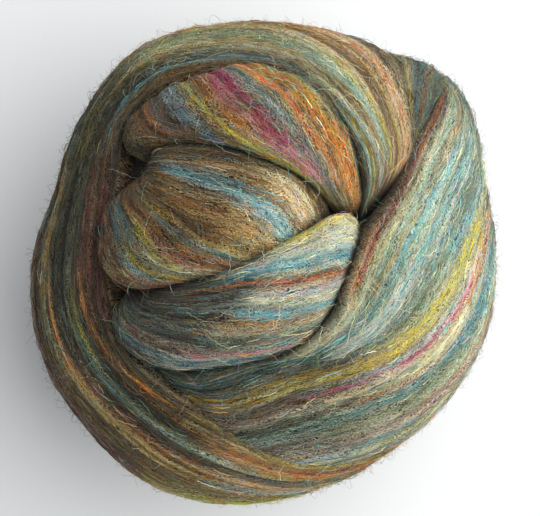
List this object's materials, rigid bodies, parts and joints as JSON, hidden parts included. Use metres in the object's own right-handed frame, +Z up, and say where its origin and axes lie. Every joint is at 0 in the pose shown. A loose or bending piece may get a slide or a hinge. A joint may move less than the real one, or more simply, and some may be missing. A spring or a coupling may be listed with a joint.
{
  "type": "wool roving ball",
  "caption": "Ball wound from one long length of combed wool top in mixed heather colours, with broad wraps, three rounded folds on top and a small flat spot to rest on.",
  "frame": {"origin": "centre of the flat spot under the ball, at the height of the surface it rests on, below the middle of the ball's outline", "axes": "+Z up, +X towards the side where the wide band comes up, +Y towards the side behind the upper fold"},
  "size_m": [0.1512, 0.1555, 0.1257],
  "materials": {
    "wool": "matt combed wool fibre, heathered in teal, sage, olive, rust, mauve, yellow and cream"
  },
  "bodies": {
    "root": {"roving_ball": "wool"}
  },
  "joints": []
}
